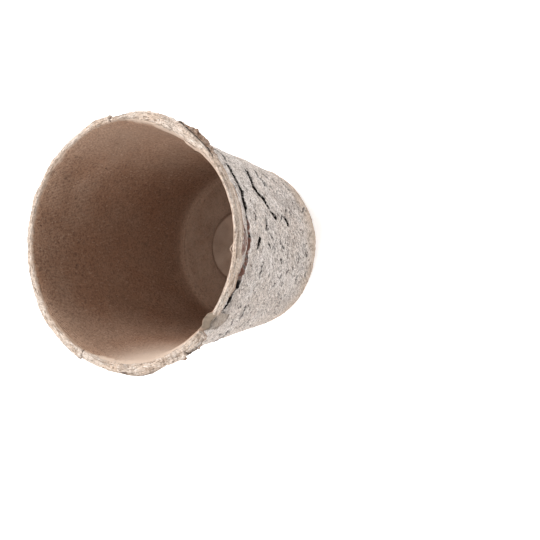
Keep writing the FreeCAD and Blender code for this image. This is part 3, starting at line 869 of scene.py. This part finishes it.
def addNode(tree, kind, inputs=None, out=0, **settings):
    # Adds a node with its settings and links, and gives the output asked for
    node = tree.nodes.new("ShaderNode" + kind)
    for name, value in settings.items():
        setattr(node, name, value)
    for name, value in (inputs or {}).items():
        if isinstance(value, bpy.types.NodeSocket):
            tree.links.new(value, node.inputs[name])
        else:
            node.inputs[name].default_value = value
    return node.outputs[out] if node.outputs else node


# Turns of the helices in radians for each metre up, and where the rim's pattern starts
helixTwists = {"rising": -34.0, "falling": 26.0}
seamAzimuth = 230


def markRuns(tree):
    # Ways that marks can run in the felt: evenly, drawn out along either helix of the wall, or along the rim
    even = addNode(tree, "TexCoord", out="Object")
    up = addNode(tree, "SeparateXYZ", {"Vector": even}, out="Z")
    runs = {"even": even}
    for name, twist in helixTwists.items():
        angle = addNode(tree, "Math", {0: up, 1: twist}, operation="MULTIPLY")
        runs[name] = addNode(tree, "VectorRotate", {"Vector": even, "Angle": angle}, rotation_type="Z_AXIS")
    # The rim is unrolled from the length with no lip, so that no seam shows
    seamTurn = math.radians(180 - seamAzimuth)
    turned = addNode(tree, "VectorRotate", {"Vector": even, "Angle": seamTurn}, rotation_type="Z_AXIS")
    level = addNode(tree, "VectorMath", {0: turned, 1: (1, 1, 0)}, operation="MULTIPLY")
    radius = addNode(tree, "VectorMath", {0: level}, out="Value", operation="LENGTH")
    forward, aside = (addNode(tree, "SeparateXYZ", {"Vector": turned}, out=axis) for axis in "XY")
    angle = addNode(tree, "Math", {0: aside, 1: forward}, operation="ARCTAN2")
    along = addNode(tree, "Math", {0: angle, 1: pot["rimMiddle"] * mm}, operation="MULTIPLY")
    runs["round"] = addNode(tree, "CombineXYZ", {"X": radius, "Y": up, "Z": along})
    return runs


def feltMaterial(spec):
    # Matt pressed fibre, mixed from marks of several sizes that colour it and raise it
    material = bpy.data.materials.new(spec["name"])
    material.use_nodes = True
    tree = material.node_tree
    tree.nodes.clear()
    runs = markRuns(tree)
    colour, height = linear(spec["ground"]), 0.0
    for run, size, length, start, full, tone, share, rise in spec["marks"]:
        squeezed = addNode(tree, "VectorMath", {0: runs[run], 1: (1, 1, size / length)}, operation="MULTIPLY")
        cloud = addNode(tree, "TexNoise", {
            "Vector": squeezed, "Scale": 1 / (size * mm), "Detail": 2.0, "Roughness": 0.55,
            "Distortion": 0.6}, out="Fac")
        mark = addNode(tree, "MapRange", {
            "Value": cloud, "From Min": start, "From Max": full, "To Max": share})
        colour = addNode(tree, "Mix", {0: mark, 6: colour, 7: linear(tone)}, out=2, data_type="RGBA")
        height = addNode(tree, "Math", {0: mark, 1: rise / share, 2: height}, operation="MULTIPLY_ADD")
    if "weave" in spec:
        grid = addNode(tree, "UVMap", uv_map="screen")
        across, upward = (addNode(tree, "SeparateXYZ", {"Vector": grid}, out=axis) for axis in "XY")
        waves = []
        for operation in ("ADD", "SUBTRACT"):
            slant = addNode(tree, "Math", {0: across, 1: upward}, operation=operation)
            turn = addNode(tree, "Math", {0: slant, 1: fullTurn}, operation="MULTIPLY")
            waves.append(addNode(tree, "Math", {0: turn}, operation="SINE"))
        crossed = addNode(tree, "Math", {0: waves[0], 1: waves[1]}, operation="MULTIPLY")
        cloud = addNode(tree, "TexNoise", {
            "Vector": runs["even"], "Scale": 1 / (15 * mm), "Detail": 1.0}, out="Fac")
        patchy = addNode(tree, "MapRange", {
            "Value": cloud, "From Min": 0.38, "From Max": 0.6, "To Min": 0.15})
        weave = addNode(tree, "Math", {0: crossed, 1: patchy}, operation="MULTIPLY")
        height = addNode(tree, "Math", {0: weave, 1: spec["weave"], 2: height}, operation="MULTIPLY_ADD")
        mark = addNode(tree, "MapRange", {"Value": weave, "From Min": 0.0, "From Max": 0.8, "To Max": 0.65})
        tone = linear(spec["weaveTone"])
        colour = addNode(tree, "Mix", {0: mark, 6: colour, 7: tone}, out=2, data_type="RGBA")
    for name, tone, share in spec["painted"]:
        layer = addNode(tree, "Attribute", out="Fac", attribute_name=name)
        mark = addNode(tree, "Math", {0: layer, 1: share}, operation="MULTIPLY")
        colour = addNode(tree, "Mix", {0: mark, 6: colour, 7: linear(tone)}, out=2, data_type="RGBA")
    bump = addNode(tree, "Bump", {"Height": height, "Distance": mm, "Strength": spec["bump"]})
    shader = addNode(tree, "BsdfPrincipled", {
        "Base Color": colour, "Roughness": 0.95, "IOR": 1.45, "Specular IOR Level": 0.25,
        "Sheen Weight": 0.02, "Sheen Roughness": 0.6, "Normal": bump})
    addNode(tree, "OutputMaterial", {"Surface": shader})
    return material


# Each mark is its run, its size and length in mm, where in the noise it starts and is full, its tone and
# share, and how far it rises. Marks of fine fibre are coarser than the real ones, so that they show.
felts = {
    # Rough outer side of the moulding: grey-beige, with pale flakes, every crease and crack a thin dark line
    # of painted shade, and a painted highlight along the lifted edges of the cracks
    "wall": {
        "name": "peatFeltRough", "ground": "EDE2DA", "bump": 0.8,
        "marks": [
            ("even", 7.0, 7.0, 0.35, 0.65, "F4EBE5", 0.8, 0.0),
            ("even", 16.0, 16.0, 0.42, 0.66, "DDCBBD", 0.5, 0.0),
            ("rising", 0.9, 2.0, 0.54, 0.36, "B4A79D", 0.6, -0.18),
            ("rising", 0.5, 1.1, 0.55, 0.66, "F8F2ED", 0.8, 0.12),
            ("rising", 0.45, 0.95, 0.42, 0.35, "7E6E64", 0.6, -0.25),
            ("falling", 0.45, 0.95, 0.41, 0.34, "7E6E64", 0.6, -0.22),
            ("even", 0.42, 0.42, 0.54, 0.34, "94857B", 0.55, -0.12),
            ("rising", 0.6, 1.5, 0.36, 0.33, "3E3028", 0.9, -0.35),
            ("falling", 0.6, 1.3, 0.33, 0.30, "43342B", 0.85, -0.35),
            ("even", 0.9, 0.9, 0.70, 0.74, "4E3D33", 0.8, -0.12),
        ],
        # Painted shade darkens the hollows and cracks and the wall under the gaping back lip, a painted
        # highlight lies on the lifted edges, and the other tones are the felt's own
        "painted": [
            ("warm", "D2B9A1", 0.6), ("hollow", "75655A", 0.5), ("bare", "9C8B7B", 0.75),
            ("edge", "F3ECE6", 0.6), ("core", "744331", 0.9), ("tint", "150B06", 1.0)]},
    # Screen side of the moulding: smooth, darker brown, with the weave of the forming screen; painted light
    # makes the lit arcs of the inner wall paler, and painted shade darkens its hollows
    "lining": {
        "name": "peatFeltScreened", "ground": "9A7963", "bump": 0.7, "weave": 0.13, "weaveTone": "C8AC96",
        "marks": [
            ("even", 12.0, 12.0, 0.35, 0.65, "AA8B76", 0.7, 0.0),
            ("even", 26.0, 26.0, 0.42, 0.66, "946D54", 0.6, 0.0),
            ("even", 0.7, 0.7, 0.56, 0.36, "644938", 0.65, -0.08),
            ("even", 0.5, 1.2, 0.60, 0.70, "C9AD98", 0.5, 0.04),
            ("even", 1.0, 1.0, 0.69, 0.74, "38261B", 0.75, -0.05),
        ],
        "painted": [("crown", "D2BCAA", 0.95), ("bare", "9F9080", 0.9), ("hollow", "4A3528", 0.45)]},
    # Turned and pressed lip: pale skin folded along the rim, straw brown where it is torn, with painted shade
    # in its hollows, grooves and creases and on its side facing the wall
    "lip": {
        "name": "peatFeltPressed", "ground": "D6C3B4", "bump": 0.8,
        "marks": [
            ("even", 4.5, 4.5, 0.35, 0.65, "DECFC2", 0.8, 0.0),
            ("even", 11.0, 11.0, 0.42, 0.66, "CFB29A", 0.5, 0.0),
            ("even", 0.42, 0.42, 0.55, 0.34, "8F7A68", 0.6, -0.14),
            ("round", 0.40, 2.2, 0.54, 0.66, "F5EDE5", 0.65, 0.12),
            ("round", 0.38, 2.2, 0.44, 0.35, "75604F", 0.7, -0.24),
            ("even", 0.7, 0.7, 0.70, 0.74, "5E4838", 0.7, -0.08),
        ],
        "painted": [
            ("inner", "B3957F", 0.9), ("hollow", "7A6453", 0.5), ("tint", "8A6A54", 0.85),
            ("shade", "231610", 0.92)]},
    # Heart of the felt, torn open: loose, red-brown and shadowy
    "core": {
        "name": "peatFeltTorn", "ground": "7C5440", "bump": 0.9,
        "marks": [
            ("even", 1.6, 1.6, 0.35, 0.65, "94684F", 0.8, 0.1),
            ("even", 3.5, 3.5, 0.42, 0.62, "8A4F38", 0.6, 0.0),
            ("even", 0.5, 0.5, 0.55, 0.36, "472C20", 0.7, -0.2),
            ("round", 0.40, 1.6, 0.56, 0.66, "B58F73", 0.7, 0.12),
        ],
        "painted": [("hollow", "331F16", 0.7), ("tint", "9A7257", 0.6)]},
    # Coarse base: straw yellow clumps, with painted shade in the hollows between them
    "base": {
        "name": "peatFeltCoarse", "ground": "D2B9A1", "bump": 0.8,
        "marks": [
            ("even", 3.5, 3.5, 0.35, 0.65, "E2CEB8", 0.8, 0.0),
            ("even", 8.0, 8.0, 0.42, 0.62, "D0AF90", 0.5, 0.0),
            ("even", 0.7, 0.7, 0.54, 0.36, "97795F", 0.65, -0.2),
            ("even", 0.5, 1.2, 0.55, 0.66, "F3E7D6", 0.75, 0.15),
            ("even", 0.9, 0.9, 0.66, 0.72, "6B4E38", 0.75, -0.1),
        ],
        "painted": [("hollow", "86684F", 0.4), ("tint", "DCC3AA", 0.5)]},
}
materials = {finish: feltMaterial(spec) for finish, spec in felts.items()}
print("felts mixed")


def place(piece, node, finish, slot):
    piece.data.materials.clear()
    piece.data.materials.append(materials[finish])
    alone(piece)
    bpy.ops.object.shade_smooth()
    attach(piece, "root")
    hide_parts(node)
    piece.data.calc_loop_triangles()
    print(piece.name, len(piece.data.loop_triangles), "triangles")


place(makeOuterWall(), "outer_wall_ply", "wall", "wall_felt")
place(makeInnerWall(), "inner_wall_ply", "lining", "screen_side_felt")
place(makeFloorDisc(), "floor_ply", "lining", "screen_side_felt")
place(makeBaseFelt(), "base_ply", "base", "base_felt")
for name, spec in lips.items():
    place(makeLip(name, spec), spec["node"], "lip", "lip_felt")
for name, spec in tornPieces.items():
    place(makeTornPiece(name, spec), spec["node"], spec["finish"], spec["slot"])
print("felt pieces made")


# Plain pale floor and soft studio light
studio = {
    "world": 0.51,
    "lights": [
        ("keyLight", (490, 450, 640), 420, 8.3),
        ("fillLight", (-640, 160, 560), 480, 4.0),
        ("frontLight", (0, -420, 760), 300, 0.9),
    ],
    "aim": (0, 0, 40),
    "floorSize": 3000,
    "floorDrop": 0.05,
    "floorPaper": {
        "Base Color": linear("F7F7F7"), "Roughness": 0.7,
        "Emission Color": (1, 1, 1, 1), "Emission Strength": 0.45},
}


def addSoftLight(name, place, size, watts):
    light = bpy.data.lights.new(name, "AREA")
    light.shape, light.size, light.energy = "DISK", size * mm, watts
    lamp = added(name, light)
    lamp.location = Vector(place) * mm
    lamp.rotation_mode = "QUATERNION"
    lamp.rotation_quaternion = (Vector(place) - Vector(studio["aim"])).to_track_quat("Z", "Y")


def addStudio():
    for light in studio["lights"]:
        addSoftLight(*light)
    world = bpy.data.worlds.new("studioAir")
    world.use_nodes = True
    tree = world.node_tree
    tree.nodes.clear()
    seen = addNode(tree, "LightPath", out="Is Camera Ray")
    strength = addNode(tree, "MapRange", {"Value": seen, "To Min": studio["world"], "To Max": 1.0})
    air = addNode(tree, "Background", {"Color": (1, 1, 1, 1), "Strength": strength})
    addNode(tree, "OutputWorld", {"Surface": air})
    bpy.context.scene.world = world
    drop = studio["floorDrop"] * mm
    bpy.ops.mesh.primitive_plane_add(size=studio["floorSize"] * mm, location=(0, 0, -drop))
    floor = bpy.context.object
    floor.name = "studioFloor"
    paper = bpy.data.materials.new("whitePaperSweep")
    paper.use_nodes = True
    shader = paper.node_tree.nodes["Principled BSDF"]
    for name, value in studio["floorPaper"].items():
        shader.inputs[name].default_value = value
    floor.data.materials.append(paper)
    bpy.context.scene.view_settings.view_transform = "Standard"


addStudio()
print("studio lit")
